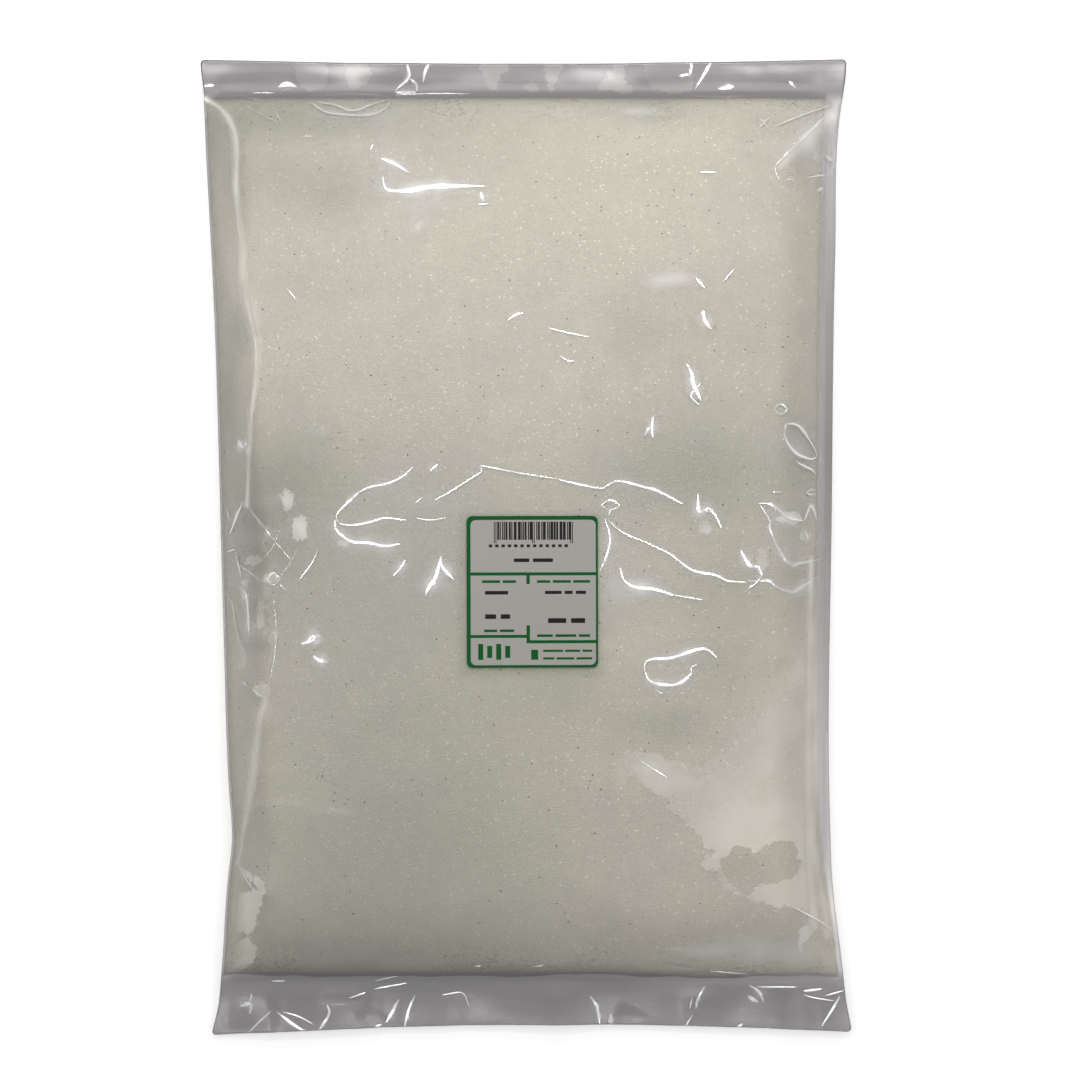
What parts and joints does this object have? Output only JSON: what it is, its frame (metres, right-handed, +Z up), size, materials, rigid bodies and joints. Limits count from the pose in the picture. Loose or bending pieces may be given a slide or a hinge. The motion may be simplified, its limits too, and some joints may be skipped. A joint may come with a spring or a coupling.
{
  "type": "bag of sugar",
  "caption": "Clear plastic film bag filled with white granulated sugar, heat-sealed flat across both ends, with a price label on its front; it lies on its back.",
  "frame": {"origin": "on the table, under the middle of the bag", "axes": "+Y towards the top seal, +Z up out of the front with the label, +X to the right of the front"},
  "size_m": [0.1994, 0.2996, 0.0326],
  "materials": {
    "bag": "glossy clear film over white sugar",
    "label": "smooth pale grey label paper",
    "film": "clear glossy film with a faint lavender grey cast",
    "sugar": "fine white crystals",
    "speck": "dull dark grains",
    "green_ink": "flat green print",
    "dark_ink": "flat near-black print"
  },
  "bodies": {
    "root": {"bag": "bag", "label": "label"}
  },
  "joints": []
}
